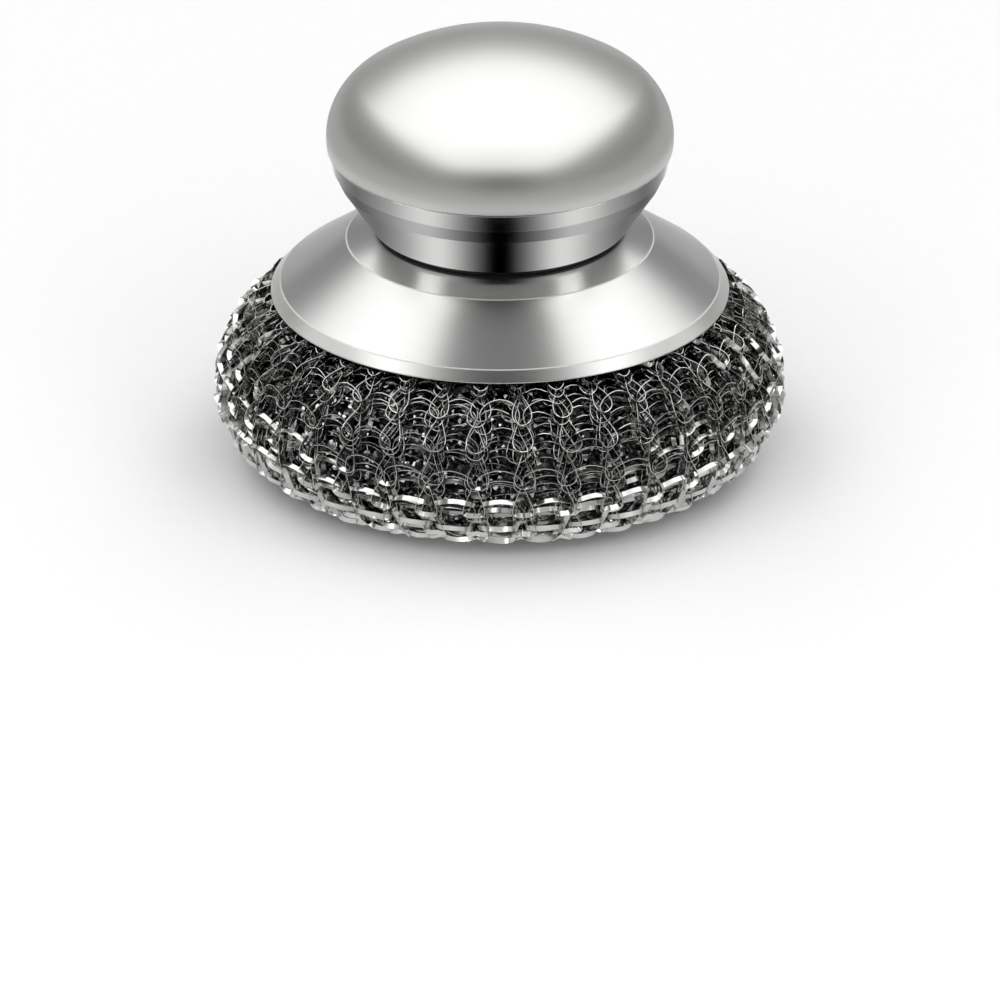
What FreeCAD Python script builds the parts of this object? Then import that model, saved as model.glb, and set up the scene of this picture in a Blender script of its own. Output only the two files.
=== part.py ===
import FreeCAD, Part
import math
import os
import Sketcher
from FreeCAD import Vector

# Pot scrubber: a pressed steel knob and skirt on a threaded stud, and a knitted
# steel pad that slips over the stud and is held by a washer and a thumb nut.
# Millimetres, +Z up the stud, with the origin on the floor under the pad.

DIMENSIONS = [
    ("dome_radius", 27.0, "half width of the knob's dome"),
    ("dome_rise", 15.6, "height of the dome above its widest line"),
    ("dome_knuckle", 11.0, "radius of the dome's turn at its widest line"),
    ("dome_wall", 0.8, "sheet of the dome"),
    ("lip_drop", 1.7, "how far the dome's lip hangs below its widest line"),
    ("cup_wall", 0.8, "sheet of the cup under the dome"),
    ("cup_seat_clearance", 0.1, "radial gap between the cup's edge and the dome's lip"),
    ("lip_ledge", 0.7, "ledge of the cup that the dome's lip sits on"),
    ("band_height", 2.9, "upper band of the cup"),
    ("band_foot_radius", 26.0, "radius where the upper band ends"),
    ("step_height", 2.5, "lower band of the cup"),
    ("cone_top_radius", 24.8, "radius where the lower band turns into the cone"),
    ("cone_height", 7.1, "cone of the cup, down to its floor"),
    ("neck_radius", 20.1, "radius of the cup's floor"),
    ("bush_flange_radius", 9.0, "flange of the threaded bush on the cup's floor"),
    ("bush_flange_height", 2.0, "thickness of that flange"),
    ("bush_radius", 6.0, "barrel of the bush"),
    ("bush_height", 10.0, "length of the bush"),
    ("gasket_radius", 18.9, "black washer between the knob and the skirt"),
    ("gasket_thickness", 1.2, "thickness of that washer"),
    ("skirt_wall", 0.8, "sheet of the skirt"),
    ("platform_radius", 19.6, "flat top of the skirt"),
    ("crease_radius", 23.9, "crease between the skirt's shoulder and its flare"),
    ("flare_radius", 34.2, "foot of the flare"),
    ("rim_radius", 35.9, "edge of the skirt"),
    ("shoulder_height", 1.7, "drop from the flat top to the crease"),
    ("flare_height", 7.2, "drop from the crease to the rim band"),
    ("rim_band_height", 1.8, "bevelled band along the edge"),
    ("rim_height", 28.0, "edge of the skirt above the floor"),
    ("stud_radius", 3.0, "M6 stud"),
    ("stud_chamfer", 0.5, "bevel on the stud's ends"),
    ("stud_end_length", 0.5, "stud left showing below the thumb nut"),
    ("thread_clearance", 0.05, "radial gap in a threaded bore"),
    ("hole_clearance", 0.2, "radial gap in a plain hole round the stud"),
    ("lock_washer_radius", 5.6, "split lock washer under the skirt's top"),
    ("lock_washer_thickness", 1.2, "thickness of the lock washer"),
    ("lock_washer_slit", 1.0, "width of its slit"),
    ("jam_nut_flats", 10.0, "jam nut across its flats"),
    ("jam_nut_height", 3.2, "height of the jam nut"),
    ("pad_radius", 45.0, "half width of the pad"),
    ("pad_waist_height", 12.4, "height of the pad's widest line"),
    ("sole_radius", 28.0, "outer edge of the flat sole"),
    ("sole_turn_radius", 11.9, "radius of the pad's turn from its waist to the sole"),
    ("pad_clearance", 0.3, "gap between the pad and the metal that it is drawn against"),
    ("wale_count", 38.0, "columns of stitches round the pad"),
    ("furrow_depth", 1.3, "furrow between two columns, at the waist"),
    ("furrow_share", 0.6, "part of a column's width that slopes into a furrow"),
    ("dimple_depth", 10.0, "hollow in the sole that takes the washer and the nut"),
    ("dimple_gap", 0.6, "radial room round the washer in the hollow"),
    ("dimple_flare", 2.0, "how much wider the hollow is at the sole"),
    ("eyelet_wall", 0.5, "sheet of the eyelet's tube"),
    ("eyelet_fit", 0.05, "radial gap between the eyelet and the pad"),
    ("eyelet_flange_radius", 7.0, "rolled flanges of the eyelet"),
    ("eyelet_flange_thickness", 0.6, "thickness of those flanges"),
    ("washer_radius", 12.0, "dished washer under the pad"),
    ("washer_thickness", 1.0, "sheet of that washer"),
    ("washer_flat_margin", 1.0, "how far its flat reaches past the eyelet's flange"),
    ("washer_gap", 0.3, "gap between the washer and the pad"),
    ("nut_gap", 0.1, "gap between the thumb nut and the washer"),
    ("nut_radius", 8.0, "thumb nut"),
    ("nut_height", 5.0, "height of the thumb nut"),
    ("nut_chamfer", 0.7, "bevel on the nut's edges"),
    ("notch_count", 12.0, "finger notches round the nut"),
    ("notch_radius", 1.2, "radius of a notch"),
]

doc = FreeCAD.newDocument("pot_scrubber")
sheet = doc.addObject("Spreadsheet::Sheet", "dims")
for row, (alias, number, note) in enumerate(DIMENSIONS, start=1):
    sheet.set(f"A{row}", alias)
    sheet.set(f"B{row}", str(number))
    sheet.set(f"C{row}", note)
    sheet.setAlias(f"B{row}", alias)
doc.recompute()

# Heights above the floor that more than one piece is built from
SKIRT_TOP = "(dims.rim_height + dims.rim_band_height + dims.flare_height + dims.shoulder_height)"
SKIRT_CEILING = f"({SKIRT_TOP} - dims.skirt_wall)"
CUP_FLOOR = f"({SKIRT_TOP} + dims.gasket_thickness)"
CUP_HEIGHT = "(dims.cone_height + dims.step_height + dims.band_height + dims.lip_drop)"
DOME_WAIST = f"({CUP_FLOOR} + {CUP_HEIGHT})"
BUSH_SEAT = f"({CUP_FLOOR} + dims.cup_wall)"
LOCK_WASHER_SEAT = f"({SKIRT_CEILING} - dims.lock_washer_thickness)"
JAM_NUT_SEAT = f"({LOCK_WASHER_SEAT} - dims.jam_nut_height)"
EYELET_TOP = f"({JAM_NUT_SEAT} - dims.pad_clearance)"
EYELET_FOOT = "(dims.dimple_depth - dims.eyelet_flange_thickness)"
WASHER_SEAT = f"({EYELET_FOOT} - dims.washer_gap - dims.washer_thickness)"
NUT_SEAT = f"({WASHER_SEAT} - dims.nut_gap - dims.nut_height)"
STUD_FOOT = f"({NUT_SEAT} - dims.stud_end_length)"

# Radii round the stud, and sizes that two pieces share
PLAIN_HOLE = "(dims.stud_radius + dims.hole_clearance)"
THREADED_HOLE = "(dims.stud_radius + dims.thread_clearance)"
EYELET_TUBE = f"({PLAIN_HOLE} + dims.eyelet_wall)"
JAM_NUT_CORNER = "(dims.jam_nut_flats / sqrt(3))"
PAD_RECESS = (
    f"(max(dims.eyelet_flange_radius; {JAM_NUT_CORNER}; dims.lock_washer_radius)"
    " + dims.pad_clearance)"
)
DOME_TURN_CENTRE = "(dims.dome_radius - dims.dome_knuckle)"
DOME_INNER_TURN = "(dims.dome_knuckle - dims.dome_wall)"

# Flats that stand for a round stretch, few enough to keep the model light
CROWN_STEPS = 3
KNUCKLE_STEPS = 4
PAD_FOOT_STEPS = 1
PAD_TURN_STEPS = 4
PAD_CROWN_STEPS = 4

# The skirt's outside below its flat top, as radius and height above the rim
SKIRT_RISE = "(dims.rim_band_height + dims.flare_height + dims.shoulder_height)"
SKIRT_FLANK = [
    ("dims.platform_radius", SKIRT_RISE),
    ("dims.crease_radius", "(dims.rim_band_height + dims.flare_height)"),
    ("dims.flare_radius", "dims.rim_band_height"),
    ("dims.rim_radius", "0"),
]


def value(expression):
    """A sheet expression as a number."""
    return float(sheet.evalExpression(expression))


def new_sketch(body, name, role):
    """A sketch on one of the body's own origin planes."""
    sketch = body.newObject("Sketcher::SketchObject", name)
    plane = next(f for f in body.Origin.OriginFeatures if f.Role == role)
    sketch.AttachmentSupport = [(plane, "")]
    sketch.MapMode = "FlatFace"
    return sketch


def bind(sketch, constraint, name, expression):
    """Add a dimension to a sketch and tie it to the sheet."""
    index = sketch.addConstraint(constraint)
    sketch.renameConstraint(index, name)
    sketch.setExpression(f"Constraints.{name}", expression)


def fix_point(sketch, line, end, name, radius, height):
    """Hold one end of a line at a radius and a height, each a sheet expression."""
    for size, kind, axis in ((radius, "DistanceX", -2), (height, "DistanceY", -1)):
        if size == "0":
            sketch.addConstraint(Sketcher.Constraint("PointOnObject", line, end, axis))
        else:
            distance = Sketcher.Constraint(kind, -1, 1, line, end, value(size))
            bind(sketch, distance, f"{name}_{kind}", size)


def draw_polygon(sketch, corners):
    """Lines through the corners, joined end to end and closed."""
    for start, end in zip(corners, corners[1:] + corners[:1]):
        sketch.addGeometry(Part.LineSegment(start, end), False)
    for line in range(len(corners)):
        follower = (line + 1) % len(corners)
        sketch.addConstraint(Sketcher.Constraint("Coincident", line, 2, follower, 1))


def revolve(body, sketch):
    """Turn a section right round the stud's axis."""
    turned = body.newObject("PartDesign::Revolution", f"{body.Name}_turned")
    turned.Profile = sketch
    turned.ReferenceAxis = (sketch, ["V_Axis"])
    turned.Angle = 360
    doc.recompute()


def section_points(outline):
    """An outline of (radius, height) expressions as points in the sketch."""
    return [Vector(value(radius), value(height), 0) for radius, height in outline]


def turned_body(label, seat, outline):
    """A turned piece: its half section as (radius, height) expressions above its seat."""
    body = doc.addObject("PartDesign::Body", label)
    sketch = new_sketch(body, f"{label}_section", "XZ_Plane")
    draw_polygon(sketch, section_points(outline))
    for index, (radius, height) in enumerate(outline):
        fix_point(sketch, index, 1, f"corner{index}", radius, height)
    revolve(body, sketch)
    body.setExpression("Placement.Base.z", seat)
    return body


def offset_line(points, distance):
    """An open line moved sideways, to the right of its direction, with mitred corners."""
    headings = [(b - a).normalize() for a, b in zip(points, points[1:])]
    sides = [Vector(heading.y, -heading.x, 0) for heading in headings]
    before = sides[:1] + sides
    after = sides + sides[-1:]
    return [
        point + (first + second) * (distance / (1 + first.dot(second)))
        for point, first, second in zip(points, before, after)
    ]


def pressed_body(label, seat, outline, wall, first_edge, last_edge):
    """A pressed sheet: its outside as (radius, height) expressions, with the inside
    parallel to it one wall away, and its two cut edges horizontal or vertical."""
    body = doc.addObject("PartDesign::Body", label)
    sketch = new_sketch(body, f"{label}_section", "XZ_Plane")
    outside = section_points(outline)
    inside = offset_line(outside, value(wall))
    runs = len(outside) - 1
    draw_polygon(sketch, outside + inside[::-1])
    for index, (radius, height) in enumerate(outline):
        fix_point(sketch, index, 1, f"corner{index}", radius, height)
    for run in range(runs):
        twin = 2 * runs - run
        sketch.addConstraint(Sketcher.Constraint("Parallel", run, twin))
        thickness = Sketcher.Constraint("Distance", twin, 1, run, value(wall))
        bind(sketch, thickness, f"wall{run}", wall)
    sketch.addConstraint(Sketcher.Constraint(last_edge, runs))
    sketch.addConstraint(Sketcher.Constraint(first_edge, 2 * runs + 1))
    revolve(body, sketch)
    body.setExpression("Placement.Base.z", seat)
    return body


def dome_outline():
    """The dome's outside from its apex to its lip: a shallow crown that turns down through a
    tighter knuckle, both as points at even angles along their arcs."""
    rise = "dims.dome_rise"
    knuckle = "dims.dome_knuckle"
    crown = f"(({DOME_TURN_CENTRE}^2 + {rise}^2 - {knuckle}^2) / (2 * ({rise} - {knuckle})))"
    joint_angle = f"atan(({crown} - {rise}) / {DOME_TURN_CENTRE})"
    outline = [("0", rise)]
    for step in range(1, CROWN_STEPS):
        angle = f"(90 deg - (90 deg - {joint_angle}) * {step} / {CROWN_STEPS})"
        outline.append((f"({crown} * cos({angle}))", f"({rise} - {crown} * (1 - sin({angle})))"))
    for step in range(KNUCKLE_STEPS, 0, -1):
        angle = f"({joint_angle} * {step} / {KNUCKLE_STEPS})"
        outline.append((f"({DOME_TURN_CENTRE} + {knuckle} * cos({angle}))", f"({knuckle} * sin({angle}))"))
    lip_reach = f"sqrt({knuckle}^2 - dims.lip_drop^2)"
    outline.append(("dims.dome_radius", "0"))
    outline.append((f"({DOME_TURN_CENTRE} + {lip_reach})", "-dims.lip_drop"))
    return outline


def knob_dome():
    """The dome, in sheet of one thickness, with a short lip below its widest line."""
    return pressed_body("knob_dome", DOME_WAIST, dome_outline(), "dims.dome_wall", "Vertical", "Horizontal")


def knob_cup():
    """The cup: a straight edge inside the dome's lip, a ledge that the lip sits on, two shallow
    bands, the cone that the fingers reach under, and a floor."""
    lip_reach = f"sqrt({DOME_INNER_TURN}^2 - dims.lip_drop^2)"
    edge_radius = f"({DOME_TURN_CENTRE} + {lip_reach} - dims.cup_seat_clearance)"
    band_top = "(dims.cone_height + dims.step_height + dims.band_height)"
    outline = [
        (edge_radius, CUP_HEIGHT),
        (edge_radius, band_top),
        (f"({edge_radius} + dims.lip_ledge)", band_top),
        ("dims.band_foot_radius", "(dims.cone_height + dims.step_height)"),
        ("dims.cone_top_radius", "dims.cone_height"),
        ("dims.neck_radius", "0"),
        (PLAIN_HOLE, "0"),
    ]
    return pressed_body("knob_cup", CUP_FLOOR, outline, "dims.cup_wall", "Horizontal", "Vertical")


def knob_bush():
    """The threaded bush on the cup's floor, inside the knob."""
    outline = [
        (THREADED_HOLE, "0"),
        ("dims.bush_flange_radius", "0"),
        ("dims.bush_flange_radius", "dims.bush_flange_height"),
        ("dims.bush_radius", "dims.bush_flange_height"),
        ("dims.bush_radius", "dims.bush_height"),
        (THREADED_HOLE, "dims.bush_height"),
    ]
    return turned_body("knob_bush", BUSH_SEAT, outline)


def neck_gasket():
    """The black washer that shows as a dark line between the knob and the skirt."""
    outline = [
        (PLAIN_HOLE, "0"),
        ("dims.gasket_radius", "0"),
        ("dims.gasket_radius", "dims.gasket_thickness"),
        (PLAIN_HOLE, "dims.gasket_thickness"),
    ]
    return turned_body("neck_gasket", SKIRT_TOP, outline)


def skirt():
    """The skirt: a flat top, a shallow shoulder, a crease, a flare and a bevelled rim."""
    outline = [(PLAIN_HOLE, SKIRT_RISE)] + SKIRT_FLANK
    return pressed_body("skirt", "dims.rim_height", outline, "dims.skirt_wall", "Vertical", "Horizontal")


def centre_stud():
    """The stud, from the bush in the knob down through the pad to below the thumb nut."""
    length = f"({BUSH_SEAT} + dims.bush_height - {STUD_FOOT})"
    tip_radius = "(dims.stud_radius - dims.stud_chamfer)"
    outline = [
        ("0", "0"),
        (tip_radius, "0"),
        ("dims.stud_radius", "dims.stud_chamfer"),
        ("dims.stud_radius", f"({length} - dims.stud_chamfer)"),
        (tip_radius, length),
        ("0", length),
    ]
    return turned_body("centre_stud", STUD_FOOT, outline)


def lock_washer():
    """The split washer between the skirt and the jam nut, a ring that stops short of a full
    turn."""
    outline = [
        (PLAIN_HOLE, "0"),
        ("dims.lock_washer_radius", "0"),
        ("dims.lock_washer_radius", "dims.lock_washer_thickness"),
        (PLAIN_HOLE, "dims.lock_washer_thickness"),
    ]
    body = turned_body("lock_washer", LOCK_WASHER_SEAT, outline)
    slit_angle = "(dims.lock_washer_slit / dims.lock_washer_radius * 180 / pi)"
    body.Tip.setExpression("Angle", f"360 - {slit_angle}")
    return body


def jam_nut():
    """The thin hexagon nut that clamps the skirt to the knob."""
    hexagon = doc.addObject("Part::Prism", "jam_nut_hexagon")
    hexagon.Polygon = 6
    hexagon.setExpression("Circumradius", JAM_NUT_CORNER)
    hexagon.setExpression("Height", "dims.jam_nut_height")
    bore = doc.addObject("Part::Cylinder", "jam_nut_bore")
    bore.setExpression("Radius", THREADED_HOLE)
    bore.setExpression("Height", "dims.jam_nut_height")
    nut = doc.addObject("Part::Cut", "jam_nut")
    nut.Base = hexagon
    nut.Tool = bore
    nut.setExpression("Placement.Base.z", JAM_NUT_SEAT)
    return nut


def arc_points(centre, start, end, count):
    """Points along the shorter arc round a centre, the start left out."""
    spoke = start - centre
    turn = FreeCAD.Rotation(spoke, end - centre)
    axis = turn.Axis
    step = math.degrees(turn.Angle) / count
    return [centre + FreeCAD.Rotation(axis, step * k).multVec(spoke) for k in range(1, count + 1)]


def pad_flank():
    """The pad's outside as points (radius, height): from the flat sole through a wide arc and
    a tighter one to the waist, and up one arc to the skirt's rim."""
    sole = Vector(value("dims.sole_radius"), 0, 0)
    waist = Vector(value("dims.pad_radius"), value("dims.pad_waist_height"), 0)
    crown = Vector(value("dims.rim_radius"), value("dims.rim_height - dims.pad_clearance"), 0)
    turn_radius = value("dims.sole_turn_radius")
    turn_centre = waist - Vector(turn_radius, 0, 0)
    inset = turn_centre.x - sole.x
    wide = (inset**2 + waist.y**2 - turn_radius**2) / (2 * (waist.y - turn_radius))
    wide_centre = sole + Vector(0, wide, 0)
    joint = wide_centre + (turn_centre - wide_centre).normalize() * wide
    run = waist.x - crown.x
    climb = crown.y - waist.y
    crown_centre = waist - Vector((run**2 + climb**2) / (2 * run), 0, 0)
    foot = arc_points(wide_centre, sole, joint, PAD_FOOT_STEPS)
    turn = arc_points(turn_centre, joint, waist, PAD_TURN_STEPS)
    return [sole] + foot + turn + arc_points(crown_centre, waist, crown, PAD_CROWN_STEPS)


def wale_ring(radius, height):
    """Corners of one line round the pad: a flat for each column of stitches, and a furrow
    between each two, as deep for its radius as at the waist."""
    count = int(value("dims.wale_count"))
    slope = value("dims.furrow_share") / 2
    furrow = 1 - value("dims.furrow_depth / dims.pad_radius")
    corners = []
    for wale in range(count):
        for along, share in ((0, furrow), (slope, 1), (1 - slope, 1)):
            angle = 2 * math.pi * (wale + along) / count
            reach = radius * share
            corners.append(Vector(reach * math.cos(angle), reach * math.sin(angle), height))
    return corners


def flat_face(corners):
    """A flat face through its corners."""
    return Part.Face(Part.makePolygon(corners + corners[:1]))


def pad_bun():
    """The pad's outside as a solid: flat faces between each ring and the next, since every
    ring is a scaled copy of the others, and a flat sole and top."""
    rings = [wale_ring(point.x, point.y) for point in pad_flank()]
    faces = [flat_face(rings[0]), flat_face(rings[-1])]
    for lower, upper in zip(rings, rings[1:]):
        for k in range(len(lower)):
            faces.append(flat_face([lower[k - 1], lower[k], upper[k], upper[k - 1]]))
    return Part.Solid(Part.Shell(faces))


def turned_solid(corners):
    """A solid turned from the closed half section through its corners (radius, height)."""
    section = flat_face([Vector(corner.x, 0, corner.y) for corner in corners])
    return section.revolve(Vector(0, 0, 0), Vector(0, 0, 1), 360)


def pad_crown():
    """The part of the pad that is drawn up inside the skirt, one clearance from the sheet."""
    clearance = value("dims.pad_clearance")
    outside = section_points([(radius, f"{rise} + dims.rim_height") for radius, rise in SKIRT_FLANK])
    under = offset_line(outside, value("dims.skirt_wall") + clearance)
    foot = value("dims.rim_height") - clearance
    share = (under[-2].y - foot) / (under[-2].y - under[-1].y)
    under[-1] = under[-2] + (under[-1] - under[-2]) * share
    return turned_solid([Vector(0, under[0].y, 0)] + under + [Vector(0, foot, 0)])


def pad_core():
    """What is missing from the pad's middle: room for the jam nut at the top, the bore for the
    eyelet, and the hollow in the sole for the washer and the thumb nut."""
    top = value(SKIRT_TOP)
    recess = value(PAD_RECESS)
    recess_floor = value(f"{EYELET_TOP} - dims.eyelet_flange_thickness")
    bore = value(f"{EYELET_TUBE} + dims.eyelet_fit")
    roof = value("dims.washer_radius + dims.dimple_gap")
    depth = value("dims.dimple_depth")
    corners = [
        (0, top),
        (recess, top),
        (recess, recess_floor),
        (bore, recess_floor),
        (bore, depth),
        (roof, depth),
        (roof + value("dims.dimple_flare"), 0),
        (0, 0),
    ]
    return turned_solid([Vector(*corner, 0) for corner in corners])


def scouring_pad():
    """The knitted pad as a soft bun with a furrow between each two columns of stitches."""
    pad = doc.addObject("Part::Feature", "scouring_pad")
    pad.Shape = pad_bun().fuse(pad_crown()).cut(pad_core())
    pad.Placement = FreeCAD.Placement()
    return pad


def pad_eyelet():
    """The tubular eyelet that gathers the pad's knit round the stud."""
    length = f"({EYELET_TOP} - {EYELET_FOOT})"
    lower_face = "dims.eyelet_flange_thickness"
    upper_face = f"({length} - dims.eyelet_flange_thickness)"
    outline = [
        (PLAIN_HOLE, "0"),
        ("dims.eyelet_flange_radius", "0"),
        ("dims.eyelet_flange_radius", lower_face),
        (EYELET_TUBE, lower_face),
        (EYELET_TUBE, upper_face),
        ("dims.eyelet_flange_radius", upper_face),
        ("dims.eyelet_flange_radius", length),
        (PLAIN_HOLE, length),
    ]
    return turned_body("pad_eyelet", EYELET_FOOT, outline)


def retaining_washer():
    """The dished washer under the pad: flat under the eyelet, then rising to the knit."""
    flat_radius = "(dims.eyelet_flange_radius + dims.washer_flat_margin)"
    dish = "dims.eyelet_flange_thickness"
    outline = [
        (PLAIN_HOLE, "0"),
        (flat_radius, "0"),
        ("dims.washer_radius", dish),
        ("dims.washer_radius", f"({dish} + dims.washer_thickness)"),
        (flat_radius, "dims.washer_thickness"),
        (PLAIN_HOLE, "dims.washer_thickness"),
    ]
    return turned_body("retaining_washer", WASHER_SEAT, outline)


def thumb_nut():
    """The thumb nut: a bevelled disc with finger notches round it."""
    shoulder_radius = "(dims.nut_radius - dims.nut_chamfer)"
    outline = [
        (THREADED_HOLE, "0"),
        (shoulder_radius, "0"),
        ("dims.nut_radius", "dims.nut_chamfer"),
        ("dims.nut_radius", "(dims.nut_height - dims.nut_chamfer)"),
        (shoulder_radius, "dims.nut_height"),
        (THREADED_HOLE, "dims.nut_height"),
    ]
    body = turned_body("thumb_nut", NUT_SEAT, outline)
    plain_volume = body.Shape.Volume
    sketch = new_sketch(body, "thumb_nut_notch", "XY_Plane")
    centre = Vector(value("dims.nut_radius"), 0, 0)
    circle = sketch.addGeometry(Part.Circle(centre, Vector(0, 0, 1), value("dims.notch_radius")), False)
    sketch.addConstraint(Sketcher.Constraint("PointOnObject", circle, 3, -1))
    reach = Sketcher.Constraint("DistanceX", -1, 1, circle, 3, centre.x)
    bind(sketch, reach, "reach", "dims.nut_radius")
    radius = Sketcher.Constraint("Radius", circle, value("dims.notch_radius"))
    bind(sketch, radius, "radius", "dims.notch_radius")
    notch = body.newObject("PartDesign::Pocket", "thumb_nut_notches")
    notch.Profile = sketch
    notch.Type = "ThroughAll"
    notch.Reversed = True
    doc.recompute()
    ring = body.newObject("PartDesign::PolarPattern", "thumb_nut_knurl")
    ring.Originals = [notch]
    ring.Axis = (sketch, ["N_Axis"])
    ring.Angle = 360
    ring.setExpression("Occurrences", "dims.notch_count")
    body.Tip = ring
    doc.recompute()
    if body.Shape.Volume >= plain_volume:
        raise RuntimeError("the notches in the thumb nut cut nothing")
    return body


def check(pieces):
    """Stop unless every object was built and every piece is one valid solid."""
    for item in doc.Objects:
        if "Invalid" in item.State or "Error" in item.State:
            raise RuntimeError(f"{item.Name} was not built: {item.State}")
    for piece in pieces:
        shape = piece.Shape
        if shape.isNull() or not shape.isValid() or len(shape.Solids) != 1:
            raise RuntimeError(f"{piece.Label} is not one valid solid")


def main():
    pieces = [
        knob_dome(),
        knob_cup(),
        knob_bush(),
        neck_gasket(),
        skirt(),
        centre_stud(),
        lock_washer(),
        jam_nut(),
        scouring_pad(),
        pad_eyelet(),
        retaining_washer(),
        thumb_nut(),
    ]
    doc.recompute()
    check(pieces)
    os.makedirs("parts", exist_ok=True)
    for piece in pieces:
        piece.Shape.exportStep(f"parts/{piece.Label}.step")


main()
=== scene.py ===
# %% [markdown]
# # A pot scrubber in steel
# The scrubber has a smooth steel knob on a flared skirt, and a bun-shaped pad knitted from flat
# steel ribbon. The construction comes as a fixed frame of solids at their real size. Each cell
# below takes one piece of it, works out a finer surface with numpy and gives it its finish.

# %% Load the frame
import math

import bmesh
import bpy
import numpy as np
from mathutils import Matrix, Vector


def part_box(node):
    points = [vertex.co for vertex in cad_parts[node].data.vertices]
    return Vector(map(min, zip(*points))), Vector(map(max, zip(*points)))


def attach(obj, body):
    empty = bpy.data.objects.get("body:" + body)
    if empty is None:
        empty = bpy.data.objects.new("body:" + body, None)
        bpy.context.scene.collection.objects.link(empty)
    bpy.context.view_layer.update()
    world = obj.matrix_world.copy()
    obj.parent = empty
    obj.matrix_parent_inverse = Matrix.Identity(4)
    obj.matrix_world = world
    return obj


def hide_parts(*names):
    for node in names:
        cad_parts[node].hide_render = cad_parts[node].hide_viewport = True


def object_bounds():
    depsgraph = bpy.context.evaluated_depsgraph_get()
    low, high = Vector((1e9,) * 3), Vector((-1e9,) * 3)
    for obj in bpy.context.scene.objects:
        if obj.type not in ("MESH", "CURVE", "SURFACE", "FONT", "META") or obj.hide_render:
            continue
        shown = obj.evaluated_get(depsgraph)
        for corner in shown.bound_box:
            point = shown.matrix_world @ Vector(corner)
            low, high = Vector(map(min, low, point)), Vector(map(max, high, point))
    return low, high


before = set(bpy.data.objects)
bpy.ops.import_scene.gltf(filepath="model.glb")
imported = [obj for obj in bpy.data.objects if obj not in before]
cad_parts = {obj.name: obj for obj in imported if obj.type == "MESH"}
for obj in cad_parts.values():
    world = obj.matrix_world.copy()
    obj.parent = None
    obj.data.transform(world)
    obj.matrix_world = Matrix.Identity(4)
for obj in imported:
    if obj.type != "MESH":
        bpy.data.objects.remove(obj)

cad_low, cad_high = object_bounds()
MM = 0.001
print("solids from", [round(x / MM, 1) for x in cad_low], "to", [round(x / MM, 1) for x in cad_high], "mm")

# %% [markdown]
# ## Camera
# The photo was taken from about 25 degrees above the table, with a lens so long that the knob is
# hardly larger for being nearer. The object stands in the upper half of the picture. A lens shift
# would spoil other views, so the camera aims at a point on the stud's axis just below the table.

# %% Camera
LENS = 1038.4
SENSOR = 36.0
CAMERA_DISTANCE = 4.5
CAMERA_ELEVATION = math.radians(24.8)
CAMERA_AIM_HEIGHT = -0.0081

camera_data = bpy.data.cameras.new("camera")
camera_data.lens = LENS
camera_data.sensor_width = SENSOR
camera = bpy.data.objects.new("camera", camera_data)
camera.location = (
    0,
    -CAMERA_DISTANCE * math.cos(CAMERA_ELEVATION),
    CAMERA_AIM_HEIGHT + CAMERA_DISTANCE * math.sin(CAMERA_ELEVATION),
)
camera.rotation_euler = (math.pi / 2 - CAMERA_ELEVATION, 0, 0)
bpy.context.scene.collection.objects.link(camera)
bpy.context.scene.camera = camera
print("camera", [round(x, 3) for x in camera.location])

# %% [markdown]
# ## Node helper and colours
# Materials are small trees of nodes. One function adds a node and sets or links its inputs, and one
# turns a hex colour, as a painter would pick it, into the linear numbers that the renderer uses.
# Two more give the soft unevenness that keeps a surface from looking like plastic.

# %% Helpers for materials
def linear(hex_colour):
    """A colour such as 8C8C8A as linear red, green, blue and alpha: each channel is undone from
    its sRGB curve."""
    channels = np.array([int(hex_colour[k : k + 2], 16) for k in (0, 2, 4)]) / 255
    low = channels / 12.92
    high = ((channels + 0.055) / 1.055) ** 2.4
    return (*np.where(channels <= 0.04045, low, high), 1.0)


def add(tree, kind, inputs=None, **settings):
    """A node of that kind with its settings, each input set to a value or linked to a socket."""
    made = tree.nodes.new(kind)
    for name, setting in settings.items():
        setattr(made, name, setting)
    for name, source in (inputs or {}).items():
        if isinstance(source, bpy.types.NodeSocket):
            tree.links.new(source, made.inputs[name])
        else:
            made.inputs[name].default_value = source
    return made


def new_material(name):
    """An empty material and its tree."""
    material = bpy.data.materials.new(name)
    material.use_nodes = True
    material.node_tree.nodes.clear()
    return material, material.node_tree


def close_material(tree, shader):
    """Links the finished shader to the material's output."""
    add(tree, "ShaderNodeOutputMaterial", {"Surface": shader.outputs[0]})


def drift(tree, grain, detail, low, high):
    """A value that drifts between low and high in soft spots about one grain across, in millimetres:
    noise on the piece's own coordinates, spread over that range."""
    place = add(tree, "ShaderNodeTexCoord").outputs["Object"]
    inputs = {"Vector": place, "Scale": 1 / (grain * MM), "Detail": detail}
    spots = add(tree, "ShaderNodeTexNoise", inputs).outputs["Fac"]
    inputs = {"Value": spots, "To Min": low, "To Max": high}
    return add(tree, "ShaderNodeMapRange", inputs).outputs["Result"]


def flecks(tree, grain, detail, dark, light):
    """A colour that drifts between two in such spots, and the noise that mixes them, for relief."""
    place = add(tree, "ShaderNodeTexCoord").outputs["Object"]
    inputs = {"Vector": place, "Scale": 1 / (grain * MM), "Detail": detail}
    spots = add(tree, "ShaderNodeTexNoise", inputs).outputs["Fac"]
    inputs = {"Factor": spots, "A": linear(dark), "B": linear(light)}
    return add(tree, "ShaderNodeMix", inputs, data_type="RGBA").outputs["Result"], spots


print("middle grey is", round(linear("808080")[0], 3), "in linear light")
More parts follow.
